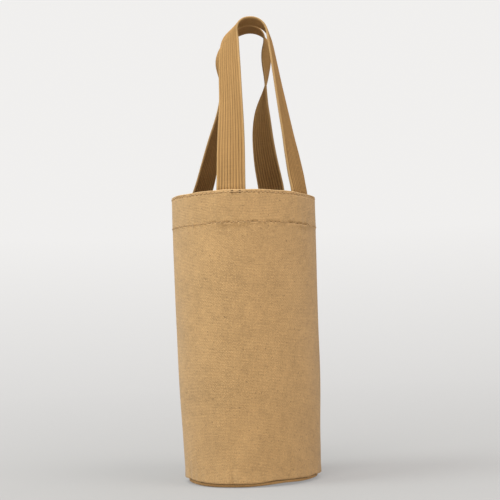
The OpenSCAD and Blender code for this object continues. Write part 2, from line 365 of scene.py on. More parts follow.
def linked(name, data):
    made = bpy.data.objects.new(name, data)
    bpy.context.scene.collection.objects.link(made)
    return made


def new_object(name, points, faces, body, material, uvs=None):
    mesh = bpy.data.meshes.new(name)
    mesh.from_pydata(points, [], faces, shade_flat=False)
    if uvs is not None:
        layer = mesh.uv_layers.new(name="cloth")
        layer.data.foreach_set("uv", np.asarray(uvs, np.float32).ravel())
    mesh.materials.append(material)
    mesh.update()
    piece = linked(name, mesh)
    if body:
        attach(piece, body)
    return piece


def grid(points, us, vs, close_rows, close_columns):
    """Faces and cloth coordinates of a grid of points, [row, column].
    us and vs are one longer than the grid where it closes."""
    rows, columns = points.shape[:2]
    faces, uvs = [], []
    for i in range(rows if close_rows else rows - 1):
        for j in range(columns if close_columns else columns - 1):
            a, b = (i + 1) % rows, (j + 1) % columns
            faces.append((i * columns + j, i * columns + b, a * columns + b, a * columns + j))
            uvs += [(us[j], vs[i]), (us[j + 1], vs[i]), (us[j + 1], vs[i + 1]), (us[j], vs[i + 1])]
    return faces, uvs


def arc(x, y, r, start, end, steps):
    """Points of an arc round (x, y), from start to end in degrees."""
    a = np.radians(np.linspace(start, end, steps))
    return [(x + r * math.cos(t), y + r * math.sin(t)) for t in a]


def fold(outer, centre, z, r, start, end, steps, flatness=1.0):
    """An arc of the section, pressed flatter, as (inset, z) points that are inset from the radius outer."""
    return [(outer - x, z + flatness * (y - z)) for x, y in arc(centre, z, r, start, end, steps)]


def line(z0, z1, inset, step, fine=None):
    """Points along the wall, at a distance inside its outer face.
    Near the rows of stitches they can be finer."""
    rows = [] if fine is None else [z for z in STITCH_ROWS if min(z0, z1) < z < max(z0, z1)]
    zs = [z0]
    while abs(z1 - zs[-1]) > TINY:
        near = any(abs(zs[-1] - z) < FINE_REACH for z in rows)
        size = fine if near else step
        left = abs(z1 - zs[-1])
        zs.append(z1 if left < LAST_STEP_SHARE * size else zs[-1] + math.copysign(size, z1 - z0))
    return [(inset, z) for z in zs]


def path_lengths(points):
    """How far along the points each of them is."""
    steps = np.linalg.norm(np.diff(np.asarray(points), axis=0), axis=1)
    return np.concatenate([[0], np.cumsum(steps)])


def lathe(name, path, columns, material, start=0.0, end=TAU, shape=on_bag):
    """Turns a closed path of (inset, z) points round the bag, the whole way or from start to end."""
    full = abs(end - start - TAU) < TINY
    around = np.linspace(start, end, columns + 1)
    angles = around[:-1] if full else around
    inset, z = np.array(path).T[..., None]
    points = shape(angles[None, :], z, inset)
    down = path_lengths([*path, path[0]])
    faces, uvs = grid(points, around * MOUTH_R, down, True, full)
    if not full:
        count = len(angles)
        for j, flip in ((0, False), (count - 1, True)):
            ring = [i * count + j for i in range(len(path))]
            faces.append(tuple(ring[::-1] if flip else ring))
            uvs += [(around[j] * MOUTH_R, v) for v in down[:-1]]
    return new_object(name, points.reshape(-1, 3), faces, "bag", material, uvs)


# Materials: sizes of the weaves and their marks. A pair is where a mark starts and ends

WARP_PITCH = 0.98 * MM
WEFT_PITCH = 1.06 * MM
CANVAS_SHAKE = 0.5 * MM
CANVAS_RELIEF = 0.12 * MM
HOLE_CORE = 0.2 * MM
HOLE_EDGE = 0.62 * MM
HOLE_SQUASH = 0.75
TACK_CORE = 0.7 * MM
TACK_EDGE = 1.4 * MM
# Where the base's band of painted light and its line of painted shade at the seam start and end
PAINTED_LIGHT_BAND = (4 * MM, 3 * MM)
PAINTED_SEAM_SHADE = (1.7 * MM, 1 * MM)
RIBS = 10
FLOAT_PITCH = 0.9 * MM
FLOAT_LEAN = 0.35 * MM
FLOAT_SHIFT = 0.45 * MM
SELVEDGE_LINE = (1.1 * MM, 0.5 * MM)
# Over what reach from the crown the straps get painted light, from full to none
CROWN_LIGHT_REACH = (30 * MM, 150 * MM)
WEBBING_RELIEF = 0.24 * MM
PLY_PITCH = 0.42 * MM
PLY_RELIEF = 0.08 * MM
TWILL_PITCH = 0.55 * MM
ZIGZAG_W = 2.4 * MM
TWILL_RELIEF = 0.12 * MM
SHEEN_ROUGHNESS = 0.6


class Nodes:
    """Short calls for building one material's nodes."""

    def __init__(self, name, roughness, sheen=0.0, specular=0.25):
        self.material = bpy.data.materials.new(name)
        self.material.use_nodes = True
        self.tree = self.material.node_tree
        self.shader = self.tree.nodes["Principled BSDF"]
        for key, value in (("Roughness", roughness), ("Specular IOR Level", specular),
                           ("Sheen Weight", sheen), ("Sheen Roughness", SHEEN_ROUGHNESS)):
            self.shader.inputs[key].default_value = value

    def add(self, kind, inputs=(), **settings):
        node = self.tree.nodes.new(kind)
        for key, value in settings.items():
            setattr(node, key, value)
        for key, value in dict(inputs).items():
            self.put(node.inputs[key], value)
        return node

    def put(self, socket, value):
        if isinstance(value, bpy.types.NodeSocket):
            self.tree.links.new(value, socket)
        else:
            socket.default_value = value

    def math(self, operation, a, b=0.0, c=0.0):
        return self.add("ShaderNodeMath", {0: a, 1: b, 2: c}, operation=operation).outputs[0]

    def total(self, *weighted):
        """The sum of (value, weight) pairs."""
        result = 0.0
        for value, weight in weighted:
            result = self.math("MULTIPLY_ADD", value, weight, result)
        return result

    def off(self, value, place):
        """How far a value is from a place."""
        return self.math("ABSOLUTE", self.math("SUBTRACT", value, place))

    def length(self, x, y):
        return self.math("SQRT", self.total((x, x), (y, y)))

    def wave(self, x, pitch):
        """A sine with one hump or hollow in each pitch."""
        return self.math("SINE", self.math("MULTIPLY", x, math.pi / pitch))

    def humps(self, x, pitch):
        return self.math("ABSOLUTE", self.wave(x, pitch))

    def cloth(self):
        """The cloth's own coordinates, in metres: both, across and along."""
        uv = self.add("ShaderNodeUVMap", uv_map="cloth").outputs["UV"]
        split = self.add("ShaderNodeSeparateXYZ", {0: uv})
        return uv, split.outputs["X"], split.outputs["Y"]

    def noise(self, vector, scale, detail=3.0, stretch=(1, 1, 1)):
        mapped = self.add("ShaderNodeMapping", {"Vector": vector, "Scale": stretch}).outputs[0]
        node = self.add("ShaderNodeTexNoise", {"Vector": mapped, "Scale": scale, "Detail": detail})
        return node.outputs["Fac"]

    def ramp(self, value, stops):
        node = self.add("ShaderNodeValToRGB", {"Fac": value})
        ramp = node.color_ramp
        while len(ramp.elements) < len(stops):
            ramp.elements.new(0.5)
        for element, (place, colour) in zip(ramp.elements, stops):
            element.position = place
            element.color = (*colour, 1)
        return node.outputs["Color"]

    def tones(self, value, colour, dark, light, middle=0.5):
        """From a darker tint of the colour, through the colour itself, to a lighter tint."""
        return self.ramp(value, ((0, tinted(colour, dark)), (middle, colour), (1, tinted(colour, light))))

    def mix(self, share, a, b, blend="MIX"):
        node = self.add("ShaderNodeMix", data_type="RGBA", blend_type=blend)
        for socket, value in ((node.inputs[0], share), (node.inputs[6], a), (node.inputs[7], b)):
            if isinstance(value, tuple) and len(value) == 3:
                value = (*value, 1)
            self.put(socket, value)
        return node.outputs[2]

    def shade(self, colour, value):
        """The colour times a plain value."""
        grey = self.add("ShaderNodeCombineColor", {0: value, 1: value, 2: value}).outputs[0]
        return self.mix(1.0, colour, grey, "MULTIPLY")

    def remap(self, value, low, high, to_low=0.0, to_high=1.0):
        return self.add("ShaderNodeMapRange", {0: value, 1: low, 2: high, 3: to_low, 4: to_high}).outputs[0]

    def finish(self, colour, height, depth):
        self.put(self.shader.inputs["Base Color"], colour)
        relief = self.add("ShaderNodeBump", {"Height": height, "Distance": depth, "Strength": 1.0})
        self.put(self.shader.inputs["Normal"], relief.outputs[0])
        return self.material


def tinted(colour, share):
    return tuple(c * share for c in colour)


def plain_weave(n, uv, u, v, colour):
    """Two sets of threads, uneven in thickness and tone, with small dark flecks and painted shade where the
    threads dip: colour and height.
    """
    shake = n.noise(uv, 260, 2)
    warp = n.wave(n.math("MULTIPLY_ADD", shake, CANVAS_SHAKE, u), WARP_PITCH)
    weft = n.wave(n.math("MULTIPLY_ADD", shake, -CANVAS_SHAKE, v), WEFT_PITCH)
    over = n.math("MULTIPLY", warp, weft)
    humps = n.math("ABSOLUTE", over)
    slubs = n.math("ADD", n.noise(uv, 1.0, 2, (1000, 200, 1)), n.noise(uv, 1.0, 2, (200, 900, 1)))
    mottle = n.noise(uv, 38, 4)
    patches = n.noise(uv, 170, 3)
    grain = n.noise(uv, 850, 2)
    fuzz = n.noise(uv, 2200, 2)
    fleck = n.remap(n.noise(uv, 480, 1), 0.69, 0.75, 0, 0.6)
    mixed = n.total((mottle, 0.5), (slubs, 0.3), (patches, 0.6), (grain, 0.9))
    tone = n.tones(n.remap(mixed, 0.9, 1.7), colour, 0.72, 1.22)
    # Painted shade: the cloth is darker where the threads dip between their humps
    shaded = n.shade(tone, n.remap(humps, 0.0, 0.45, 0.72, 1.0))
    height = n.total((humps, 1.0), (over, 0.35), (slubs, 0.5), (fuzz, 0.3))
    return n.mix(fleck, shaded, tinted(colour, 0.3)), height


def needle_holes(n, uv, u, v, rows, spots):
    """How strongly each place is darkened by painted shade in a needle hole: rows of them, and larger ones at
    single spots.
    """
    step = n.math("FRACT", n.math("DIVIDE", u, HOLE_PITCH))
    beside = n.math("MULTIPLY", n.off(step, 0.5), HOLE_SQUASH * HOLE_PITCH)
    off = n.off(v, rows[0])
    for row in rows[1:]:
        off = n.math("MINIMUM", off, n.off(v, row))
    hole_shade = n.remap(n.length(beside, off), HOLE_CORE, HOLE_EDGE, 1, 0)
    hole_shade = n.math("MULTIPLY", hole_shade, n.remap(n.noise(uv, 70, 2), 0.35, 0.6, 0.35, 1.0))
    for across, along in spots:
        reach = n.length(n.off(u, across), n.off(v, along))
        hole_shade = n.math("MAXIMUM", hole_shade, n.remap(reach, TACK_CORE, TACK_EDGE, 1.6, 0))
    return hole_shade


def canvas_material(name, colour, rows=(), spots=(), seam=None):
    """Canvas, with needle holes, darkened with painted shade, in rows at places along the cloth and at spots,
    each (across, along).
    seam is how far from the centre a round panel is sewn: painted shade there, and painted light in a paler
    band inside that."""
    n = Nodes(name, 0.92, 0.12)
    uv, u, v = n.cloth()
    coloured, height = plain_weave(n, uv, u, v, colour)
    if rows:
        hole_shade = needle_holes(n, uv, u, v, rows, spots)
        # The needle holes are sunk in the relief, and darkened here with painted shade
        coloured = n.mix(n.math("MULTIPLY", hole_shade, 0.5), coloured, tinted(colour, 0.2))
        height = n.math("MULTIPLY_ADD", hole_shade, -2.0, height)
    if seam is not None:
        reach = n.length(u, v)
        # Painted light on the base's strip below the seam, and painted shade along the seam
        for (start, end), share, tint in ((PAINTED_LIGHT_BAND, 0.4, 1.5), (PAINTED_SEAM_SHADE, 0.8, 0.25)):
            painted_mark = n.remap(reach, seam - start, seam - end, 0, share)
            coloured = n.mix(painted_mark, coloured, tinted(colour, tint))
    return n.finish(coloured, height, CANVAS_RELIEF)


def webbing_material(name, colour, edge_highlight):
    """Ribbed webbing: the ribs are in the mesh, and each is crossed by small weft floats."""
    n = Nodes(name, 0.9, specular=0.1)
    uv, u, v = n.cloth()
    pitch = STRAP_W / RIBS
    rib = n.humps(u, pitch)
    rib_count = n.math("FLOOR", n.math("DIVIDE", u, pitch))
    lean = n.math("MULTIPLY_ADD", rib, FLOAT_LEAN, v)
    floats = n.humps(n.math("MULTIPLY_ADD", rib_count, FLOAT_SHIFT, lean), FLOAT_PITCH)
    streaks = n.noise(uv, 1.0, 3, (900, 30, 1))
    picks = n.noise(uv, 1.0, 2, (60, 1500, 1))
    tone = n.tones(n.remap(n.total((streaks, 1.0), (picks, 0.5)), 0.5, 1.0), colour, 0.8, 1.15)
    # Painted light toward the crown: the strap is paler there and its rib grooves less dark
    crown_light = n.remap(n.off(v, 0.0), *CROWN_LIGHT_REACH, 1.0, 0.0)
    # Painted shade in the grooves between the ribs and between the weft floats
    groove = n.remap(rib, 0.0, 0.7, n.math("MULTIPLY_ADD", crown_light, 0.34, 0.38), 1.0)
    shaded = n.shade(tone, n.math("MULTIPLY", groove, n.remap(floats, 0.0, 0.45, 0.84, 1.0)))
    # Painted highlight along both selvedges: a paler colour where the edges catch light
    start, end = SELVEDGE_LINE
    edge = n.remap(n.off(u, STRAP_W / 2), STRAP_W / 2 - start, STRAP_W / 2 - end, 0.0, 0.6)
    crown_lit = n.shade(n.mix(edge, shaded, edge_highlight), n.math("MULTIPLY_ADD", crown_light, 0.05, 1.0))
    return n.finish(crown_lit, n.total((rib, 1.0), (floats, 0.5)), WEBBING_RELIEF)


def thread_material(name, colour):
    """Twisted thread: slanting plies round each stitch, darker between them as painted shade and paler on
    their crests as painted highlight.
    """
    n = Nodes(name, 0.7, 0.1)
    _, u, v = n.cloth()
    ply = n.humps(n.math("ADD", u, v), PLY_PITCH)
    return n.finish(n.tones(ply, colour, 0.6, 1.15, 0.7), ply, PLY_RELIEF)


def tape_material(name, colour):
    """Narrow herringbone tape, darker between its twill ridges as painted shade."""
    n = Nodes(name, 0.9, 0.1)
    uv, u, v = n.cloth()
    twill = n.humps(n.math("ADD", u, n.math("PINGPONG", v, ZIGZAG_W)), TWILL_PITCH)
    tone = n.ramp(n.noise(uv, 90, 3), ((0.3, tinted(colour, 0.85)), (0.7, tinted(colour, 1.1))))
    return n.finish(n.shade(tone, n.remap(twill, 0.0, 0.6, 0.7, 1.0)), twill, TWILL_RELIEF)


# The materials. Along the body panel, rows are counted from the lower fold, over the rim and down again

CANVAS = (0.515, 0.322, 0.145)
# Painted light: the base panel is a paler copy of the canvas, which lifts its shaded strip at the foot
BASE_CANVAS_PAINTED_LIGHT = tinted(CANVAS, 1.15)
WEBBING = (0.372, 0.214, 0.0835)
# The webbing's painted highlight along its selvedges
SELVEDGE_HIGHLIGHT = (0.52, 0.34, 0.16)
TAPE = (0.46, 0.31, 0.165)
THREAD = (0.53, 0.335, 0.16)

STITCH_COUNT = 4 * int(TAU * MOUTH_R / STITCH_PITCH / 4)
HOLE_PITCH = TAU * MOUTH_R / STITCH_COUNT
TACK_ANGLE = math.radians(-21)
TACK_HALF = 1.1 * STITCH_L
RIM_FOLD = fold(MOUTH_R, MOUTH_R - RIM_R, RIM_FOLD_Z, RIM_R, 0, 180, 12, RIM_FLATNESS)
FOLD_BACK = 2 * RIM_FOLD_Z - FOLD_Z + path_lengths(RIM_FOLD)[-1]
HOLE_ROWS = [z - FOLD_Z for z in STITCH_ROWS] + [FOLD_BACK - z for z in STITCH_ROWS]
TACK_HOLES = [((TACK_ANGLE + TAU) * MOUTH_R + side * TACK_HALF, TOP_ROW_Z - FOLD_Z) for side in (-1, 1)]
BASE_SEAM = BASE_OUT - BASE_ROUND + math.pi / 2 * BASE_ROUND + SEAM_Z - BASE_ROUND

canvas = canvas_material("canvas", CANVAS, HOLE_ROWS, TACK_HOLES)
inner_canvas = canvas_material("inner_canvas", CANVAS)
base_canvas_painted_light_and_shade = canvas_material("base_canvas_painted_light_and_shade", BASE_CANVAS_PAINTED_LIGHT, seam=BASE_SEAM)
webbing = webbing_material("webbing", WEBBING, SELVEDGE_HIGHLIGHT)
tape = tape_material("tape", TAPE)
thread = thread_material("thread", THREAD)


# The camera, the lights and the stage

CAMERA_SIDE = 3.9 * MM
CAMERA_DISTANCE = 823.8 * MM
CAMERA_HEIGHT = 110.1 * MM
CAMERA_PITCH = math.radians(4.75)
CAMERA_ROLL = math.radians(-2.17)
CAMERA_REACH = 20.0
LENS_MM = 75.0
SENSOR_MM = 36.0

LAMP_DISTANCE = 2.0
LAMP_SIZE = 0.9
LAMP_AIM_Z = 170 * MM
COOL = (0.92, 1.0, 0.985)
WARM = (1.0, 0.985, 0.965)
SKY = (1.0, 0.99, 0.98)
SKY_STRENGTH = 0.5

# Each lamp's azimuth and rise in degrees, its watts and its colour
LAMPS = {
    "lamp_left": (-75, 57, 34, COOL),
    "lamp_front": (-15, 57, 21, WARM),
    "lamp_right": (50, 58, 20.5, WARM),
}

FLOOR = (0.233, 0.226, 0.222)
WALL = (0.885, 0.875, 0.865)
BOUNCE = (0.47, 0.43, 0.385)
FLOOR_RINGS = (1 * MM, 0.4, 1.5)
CURVE_R = 0.7
CURVE_START = 0.1
WALL_H = 2.4
CURVE_STEPS = 12
STAGE_COLUMNS = 96

# How the floor fades into the wall's own light, outward by r / (r + FADE_R) and upward by height: from, to,
# and the light's share at both
FADE_R = 0.82
FADE_OUT = (0.05, 0.75, 0.34, 0.8)
FADE_UP = (0.0, 0.4, 0.0, 0.2)


def turned(vector):
    """From the photograph's own frame, where the camera looks along +Y, to the bag's."""
    return Matrix.Rotation(-HANG_TURN, 3, "Z") @ Vector(vector)


def make_camera():
    data = bpy.data.cameras.new("camera")
    data.lens = LENS_MM
    data.sensor_width = SENSOR_MM
    data.clip_end = CAMERA_REACH
    camera = linked("camera", data)
    ahead = Vector((0, math.cos(CAMERA_PITCH), math.sin(CAMERA_PITCH)))
    side = Vector((1, 0, 0))
    above = side.cross(ahead)
    right = turned(side * math.cos(CAMERA_ROLL) + above * math.sin(CAMERA_ROLL))
    up = turned(above * math.cos(CAMERA_ROLL) - side * math.sin(CAMERA_ROLL))
    axes = Matrix((right, up, -turned(ahead))).transposed().to_4x4()
    place = turned((CAMERA_SIDE, -CAMERA_DISTANCE, CAMERA_HEIGHT))
    camera.matrix_world = Matrix.Translation(place) @ axes
    bpy.context.scene.camera = camera


def lamp(name, azimuth, rise, watts, colour):
    """A round soft lamp at an azimuth from the camera's side, counted to the right, and at a rise above
    the point that it is aimed at."""
    data = bpy.data.lights.new(name, "AREA")
    data.shape = "DISK"
    data.size = LAMP_SIZE
    data.energy = watts
    data.color = colour
    light = linked(name, data)
    a, e = math.radians(azimuth), math.radians(rise)
    towards = Vector((math.cos(e) * math.sin(a), -math.cos(e) * math.cos(a), math.sin(e)))
    light.location = turned(Vector((0, 0, LAMP_AIM_Z)) + LAMP_DISTANCE * towards)
    light.rotation_euler = turned(towards).to_track_quat("Z", "Y").to_euler()


def seen_directly(n):
    """1 for the rays that show the stage itself, and 0 for those that carry its light to the object."""
    rays = n.add("ShaderNodeLightPath").outputs
    return n.math("MAXIMUM", n.math("MAXIMUM", rays["Is Camera Ray"], rays["Is Glossy Ray"]),
                  rays["Is Transmission Ray"])


def stage_material():
    n = Nodes("pale_stage", 0.95)
    position = n.add("ShaderNodeNewGeometry").outputs["Position"]
    across = n.add("ShaderNodeVectorMath", {0: position, 1: (1, 1, 0)}, operation="MULTIPLY").outputs[0]
    out = n.add("ShaderNodeVectorMath", {0: across}, operation="LENGTH").outputs["Value"]
    depth = n.math("DIVIDE", out, n.math("ADD", out, FADE_R))
    height = n.add("ShaderNodeSeparateXYZ", {0: position}).outputs["Z"]
    far = n.math("ADD", n.remap(depth, *FADE_OUT), n.remap(height, *FADE_UP))
    n.put(n.shader.inputs["Base Color"], (*FLOOR, 1))
    wall = n.add("ShaderNodeEmission", {"Color": (*WALL, 1), "Strength": 1.0}).outputs[0]
    seen = n.add("ShaderNodeMixShader", {0: far, 1: n.shader.outputs[0], 2: wall}).outputs[0]
    bounce = n.add("ShaderNodeBsdfDiffuse", {"Color": (*BOUNCE, 1)}).outputs[0]
    both = n.add("ShaderNodeMixShader", {0: seen_directly(n), 1: bounce, 2: seen}).outputs[0]
    n.put(n.tree.nodes["Material Output"].inputs["Surface"], both)
    return n.material


def make_stage():
    """A pale floor that curves up into a wall all round."""
    edge = FLOOR_RINGS[-1]
    path = [(r, 0) for r in FLOOR_RINGS]
    path += [(edge + CURVE_R * math.sin(a), CURVE_R - CURVE_R * math.cos(a))
             for a in np.linspace(CURVE_START, math.pi / 2, CURVE_STEPS)]
    path += [(edge + CURVE_R, WALL_H)]
    r, z = np.array(path).T[..., None]
    points = polar(r, np.linspace(0, TAU, STAGE_COLUMNS + 1)[:-1], z)
    faces, _ = grid(points, np.zeros(STAGE_COLUMNS + 1), np.zeros(len(path)), False, True)
    faces = [f[::-1] for f in faces]
    stage = new_object("stage_sweep", points.reshape(-1, 3), faces, None, stage_material())


def make_world():
    world = bpy.data.worlds.new("world")
    world.use_nodes = True
    tree = world.node_tree
    background = tree.nodes["Background"]
    background.inputs["Color"].default_value = (*SKY, 1)
    rays = tree.nodes.new("ShaderNodeLightPath").outputs
    level = tree.nodes.new("ShaderNodeMapRange")
    level.inputs[3].default_value = SKY_STRENGTH
    level.inputs[4].default_value = WALL[1]
    tree.links.new(rays["Is Camera Ray"], level.inputs[0])
    tree.links.new(level.outputs[0], background.inputs["Strength"])
    bpy.context.scene.world = world


make_camera()
make_stage()
make_world()
for lamp_name, settings in LAMPS.items():
    lamp(lamp_name, *settings)
bpy.context.scene.view_settings.view_transform = "Standard"


# The canvas: columns and steps of its meshes, and forms that only the base and the tapes have

BODY_COLUMNS = 560
BASE_COLUMNS = 192
BASE_ROWS = 24
TAPE_COLUMNS = 220
FLAP_COLUMNS = 8
SIDE_TAPE_ROWS = 90
OUTER_STEP = 1.25 * MM
OUTER_FINE = 0.35 * MM
HEM_FACE_STEP = 1.5 * MM
HEM_FACE_FINE = 0.5 * MM
HIDDEN_STEP = 3 * MM
INNER_STEP = 2.5 * MM
FLAP_STEP = 6 * MM
BASE_CENTRE_R = 0.4 * MM
BASE_EDGE_SHARE = 0.7
BASE_PUCKER_SIZE = 0.12 * MM
BASE_SAG = 0.25 * MM
BASE_SAG_LOW = 0.5 * MM
TAPE_WAVE_SIZE = 0.12 * MM
TAPE_ROUND = 0.6 * TAPE_T
TAPE_ROUND_DROP = 0.1 * TAPE_T


def foot_line(r0, r1, z0, z1, steps):
    """Evenly spaced (inset, z) points, inset from the foot's radius."""
    return [(FOOT_R - r, z) for r, z in zip(np.linspace(r0, r1, steps), np.linspace(z0, z1, steps))]


def make_body():
    fold_mid = (FOOT_R + ALLOWANCE_IN) / 2
    slit_mid = (FOOT_R - CANVAS_T + ALLOWANCE_OUT) / 2
    slit_r = (FOOT_R - CANVAS_T - ALLOWANCE_OUT) / 2
    path = line(FOLD_Z, RIM_FOLD_Z, 0, OUTER_STEP, OUTER_FINE) + RIM_FOLD[1:]
    path += line(RIM_FOLD_Z, HEM_Z, HEM_INSET, HEM_FACE_STEP, HEM_FACE_FINE)[1:]
    path += line(HEM_Z, RIM_FOLD_Z, CANVAS_T + FOLD_GAP, HIDDEN_STEP)
    path += line(RIM_FOLD_Z, FOLD_Z, CANVAS_T, INNER_STEP)
    path += fold(FOOT_R, slit_mid, FOLD_Z, slit_r, 0, -180, 6, FOOT_FLATNESS)[1:]
    path += foot_line(ALLOWANCE_OUT, ALLOWANCE_IN, ALLOWANCE_TOP, ALLOWANCE_TOP, 2)
    path += fold(FOOT_R, fold_mid, FOLD_Z, FOLD_R, -180, 0, 14, FOOT_FLATNESS)[:-1]
    body = lathe("canvas_body", path, BODY_COLUMNS, canvas)
    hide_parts("body_panel")


def make_flap():
    """The body panel's two edges at the vertical seam, turned to one side inside the tape."""
    path = line(SIDE_LOW, SIDE_HIGH, FLAP_INSET, FLAP_STEP) + line(SIDE_HIGH, SIDE_LOW, FLAP_IN, FLAP_STEP)
    flap = lathe("side_seam_allowance", path, FLAP_COLUMNS, inner_canvas, start=SIDE_SEAM,
                 end=SIDE_SEAM + SEAM_ALLOWANCE / FOOT_R)
    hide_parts("body_panel")


def base_shape(angle, z, inset):
    """The base panel: inset is counted from the foot's radius, and its edge follows the seam's waves."""
    angle, z, inset = np.broadcast_arrays(angle, z, inset)
    r = FOOT_R - inset
    edge = smooth(r, BASE_EDGE_SHARE * BASE_OUT, BASE_OUT)
    out = r + BASE_PUCKER_SIZE * edge * ripple(FOOT_PUCKER, angle) * smooth(z, 0, SEAM_Z)
    inside = (1 - edge) * smooth(z, BASE_SAG_LOW, CANVAS_T) * (r / BASE_OUT) ** 2
    sag = BASE_SAG * inside * ripple(FOOT_WAVE, angle)
    return polar(out, angle, z + edge * lift(angle, z) + np.clip(sag, 0, None))


def make_base():
    """A shallow dish, closed by a fan of faces at the centre of each side."""
    low_flat, high_flat = BASE_OUT - BASE_ROUND, BASE_IN - BASE_ROUND
    path = foot_line(BASE_CENTRE_R, low_flat, 0, 0, BASE_ROWS)
    path += fold(FOOT_R, low_flat, BASE_ROUND, BASE_ROUND, -90, 0, 8)[1:]
    path += foot_line(BASE_OUT, BASE_IN, ALLOWANCE_TOP, ALLOWANCE_TOP, 2)
    path += fold(FOOT_R, high_flat, CANVAS_T + BASE_ROUND, BASE_ROUND, 0, -90, 6)
    path += foot_line(high_flat, BASE_CENTRE_R, CANVAS_T, CANVAS_T, BASE_ROWS)[1:]
    angles = np.linspace(0, TAU, BASE_COLUMNS + 1)[:-1]
    inset, z = np.array(path).T[..., None]
    points = base_shape(angles[None, :], z, inset)
    faces, _ = grid(points, np.zeros(BASE_COLUMNS + 1), np.zeros(len(path)), False, True)
    flat = np.vstack([points.reshape(-1, 3), [[0, 0, 0], [0, 0, CANVAS_T]]])
    low, high = len(flat) - 2, len(flat) - 1
    last = (len(path) - 1) * BASE_COLUMNS
    for j in range(BASE_COLUMNS):
        b = (j + 1) % BASE_COLUMNS
        faces += [(low, b, j), (high, last + j, last + b)]
    along = path_lengths(path)
    reach = np.minimum(along, along[-1] - along)
    cloth = np.stack([np.outer(reach, np.sin(angles)), np.outer(reach, np.cos(angles))], -1)
    cloth = np.vstack([cloth.reshape(-1, 2), [[0, 0], [0, 0]]])
    uvs = [cloth[i] for f in faces for i in f]
    base = new_object("base_cloth", flat, faces, "bag", base_canvas_painted_light_and_shade, uvs)
    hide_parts("base_panel")


def make_base_binding():
    """Tape folded over the raw edges of the base seam."""
    low, high = ALLOWANCE_TOP - TAPE_LEG, ALLOWANCE_TOP + LAYER_GAP
    out, inner = ALLOWANCE_OUT + LAYER_GAP, BASE_IN - LAYER_GAP
    shoulder = TAPE_TOP - TAPE_T / 2

    def shape(angle, z, inset):
        return polar(FOOT_R - inset, angle, z + TAPE_WAVE_SIZE * ripple(FOOT_WAVE, angle))

    path = foot_line(out, out, low, high, 4) + foot_line(inner, inner, high, low, 4)
    path += foot_line(inner - TAPE_T, inner - TAPE_T, low, shoulder, 4)
    path += foot_line(inner - TAPE_ROUND, inner, TAPE_TOP - TAPE_ROUND_DROP, TAPE_TOP, 2)
    path += foot_line(out, out + TAPE_ROUND, TAPE_TOP, TAPE_TOP - TAPE_ROUND_DROP, 2)
    path += foot_line(out + TAPE_T, out + TAPE_T, shoulder, low, 4)
    binding = lathe("base_tape", path, TAPE_COLUMNS, tape, shape=shape)
    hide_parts("base_seam_binding")


def make_side_binding():
    """Tape folded round the free edge of the vertical seam's allowance."""
    root, free = GROOVE_W + LAYER_GAP, SEAM_ALLOWANCE + LAYER_GAP
    start = SEAM_ALLOWANCE - TAPE_LEG
    near, far = CANVAS_T + LAYER_GAP, SIDE_TAPE_IN
    section = [(root, near), (free + 0.5 * TAPE_T, near), (free + TAPE_T, near + 0.5 * TAPE_T),
               (free + TAPE_T, far - 0.5 * TAPE_T), (free + 0.5 * TAPE_T, far), (start, far),
               (start, far - TAPE_T), (free, far - TAPE_T), (free, near + TAPE_T), (root, near + TAPE_T)]
    zs = np.linspace(SIDE_LOW, SIDE_HIGH, SIDE_TAPE_ROWS)
    across, inset = np.array(section).T
    points = on_bag(SIDE_SEAM + across[None, :] / FOOT_R, zs[:, None], inset[None, :])
    faces, uvs = grid(points, path_lengths([*section, section[0]]), zs, False, True)
    count = len(section)
    last = (len(zs) - 1) * count
    faces += [tuple(range(count))[::-1], tuple(range(last, last + count))]
    uvs += [(0, 0)] * (2 * count)
    binding = new_object("side_tape", points.reshape(-1, 3), faces, "bag", tape, uvs)
    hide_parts("side_seam_binding")


# Stitches: rings, how the ends sink and taper as shares of the thread, and how unevenly they lie

STITCH_RINGS = 9
STITCH_SIDES = 8
THREAD_RISE = 0.42
THREAD_SINK = 0.75
THREAD_TAPER = 0.35
ROW_SLANT = 0.12 * MM
ROW_JITTER = 0.06 * MM
HEIGHT_JITTER = 0.048 * MM
BASE_ROW_SLANT = 0.1 * MM
TACK_STEPS = (-1.0, -0.35, 0.4)
TACK_RISE = 0.25 * MM
TACK_SLANT = 0.2 * MM
TACK_STAND = 0.2 * MM
ALONG_STITCH = np.linspace(-1, 1, STITCH_RINGS)


def outward(angle):
    return polar(1, angle, 0)


def stitch(centre_points, away):
    """The rings of one stitch: a bent tube whose ends sink into the cloth."""
    rise = THREAD_D * (THREAD_RISE * (1 - ALONG_STITCH ** 4) - THREAD_SINK * ALONG_STITCH ** 6)
    spine = centre_points + away * rise[:, None]
    ahead = unit(np.gradient(spine, axis=0))
    side = unit(np.cross(ahead, away))
    top = np.cross(side, ahead)
    around = np.linspace(0, TAU, STITCH_SIDES + 1)[:-1, None]
    radius = THREAD_D / 2 * (1 - THREAD_TAPER * ALONG_STITCH ** 8)
    return spine[:, None] + radius[:, None, None] * (
        np.cos(around) * side[:, None] + np.sin(around) * top[:, None])


def stitches(name, spans, node):
    """All the stitches of one seam as one piece. Each span is (points along it, directions off the cloth)."""
    points, faces, uvs = [], [], []
    vs = np.linspace(0, STITCH_L, STITCH_RINGS)
    us = np.linspace(0, math.pi * THREAD_D, STITCH_SIDES + 1)
    end = (STITCH_RINGS - 1) * STITCH_SIDES
    for along, away in spans:
        rings = stitch(along, away)
        first = len(points) * STITCH_RINGS * STITCH_SIDES
        more, more_uvs = grid(rings, us, vs, False, True)
        more += [tuple(range(STITCH_SIDES))[::-1], tuple(range(end, end + STITCH_SIDES))]
        faces += [tuple(first + i for i in f) for f in more]
        uvs += more_uvs + [(0, 0)] * (2 * STITCH_SIDES)
        points.append(rings.reshape(-1, 3))
    row = new_object(name, np.vstack(points), faces, "bag", thread, uvs)
    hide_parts(node)


